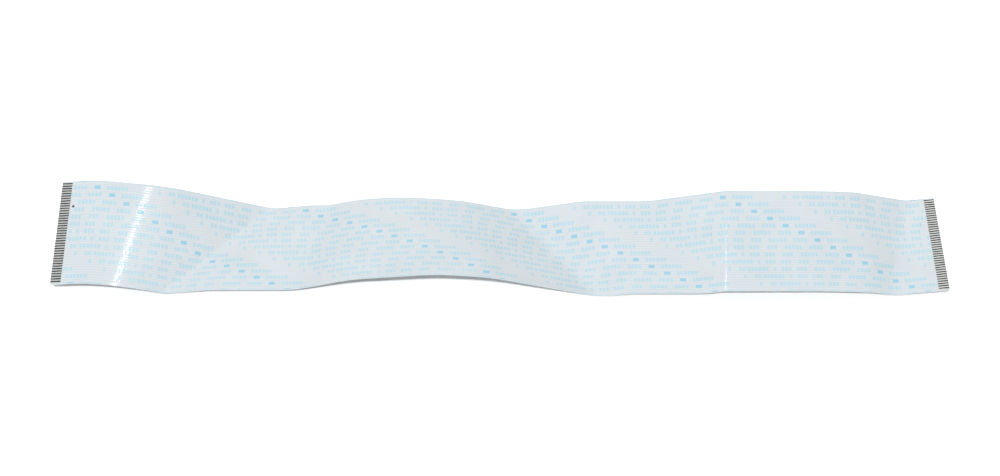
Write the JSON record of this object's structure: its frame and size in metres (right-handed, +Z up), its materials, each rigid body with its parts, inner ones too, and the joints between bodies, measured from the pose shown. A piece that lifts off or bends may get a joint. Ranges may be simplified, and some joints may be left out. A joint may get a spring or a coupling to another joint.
{
  "type": "flat flexible ribbon cable",
  "caption": "White flat flexible ribbon cable in loose waves, with bare flat contacts facing up at both ends and blue marks in slanted rows.",
  "frame": {"origin": "centre of the bounding box in plan, on the floor that the cable lies on", "axes": "+X along the cable from its left end to its right end, +Y across it towards the far edge, +Z up from the floor; the contacts face up"},
  "size_m": [0.2972, 0.0426, 0.0144],
  "materials": {
    "film": "smooth satin white polyester film",
    "stiffener": "smooth white polyester strip",
    "conductor": "dull tin plating on flat copper"
  },
  "bodies": {
    "root": {"lower_film": "film", "upper_film": "film", "stiffener_left": "stiffener", "stiffener_right": "stiffener", "conductor_01": "conductor", "conductor_02": "conductor", "conductor_03": "conductor", "conductor_04": "conductor", "conductor_05": "conductor", "conductor_06": "conductor", "conductor_07": "conductor", "conductor_08": "conductor", "conductor_09": "conductor", "conductor_10": "conductor", "conductor_11": "conductor", "conductor_12": "conductor", "conductor_13": "conductor", "conductor_14": "conductor", "conductor_15": "conductor", "conductor_16": "conductor", "conductor_17": "conductor", "conductor_18": "conductor", "conductor_19": "conductor", "conductor_20": "conductor", "conductor_21": "conductor", "conductor_22": "conductor", "conductor_23": "conductor", "conductor_24": "conductor", "conductor_25": "conductor", "conductor_26": "conductor", "conductor_27": "conductor", "conductor_28": "conductor", "conductor_29": "conductor", "conductor_30": "conductor", "conductor_31": "conductor", "conductor_32": "conductor", "conductor_33": "conductor", "conductor_34": "conductor", "conductor_35": "conductor", "conductor_36": "conductor", "conductor_37": "conductor", "conductor_38": "conductor", "conductor_39": "conductor", "conductor_40": "conductor"}
  },
  "joints": []
}
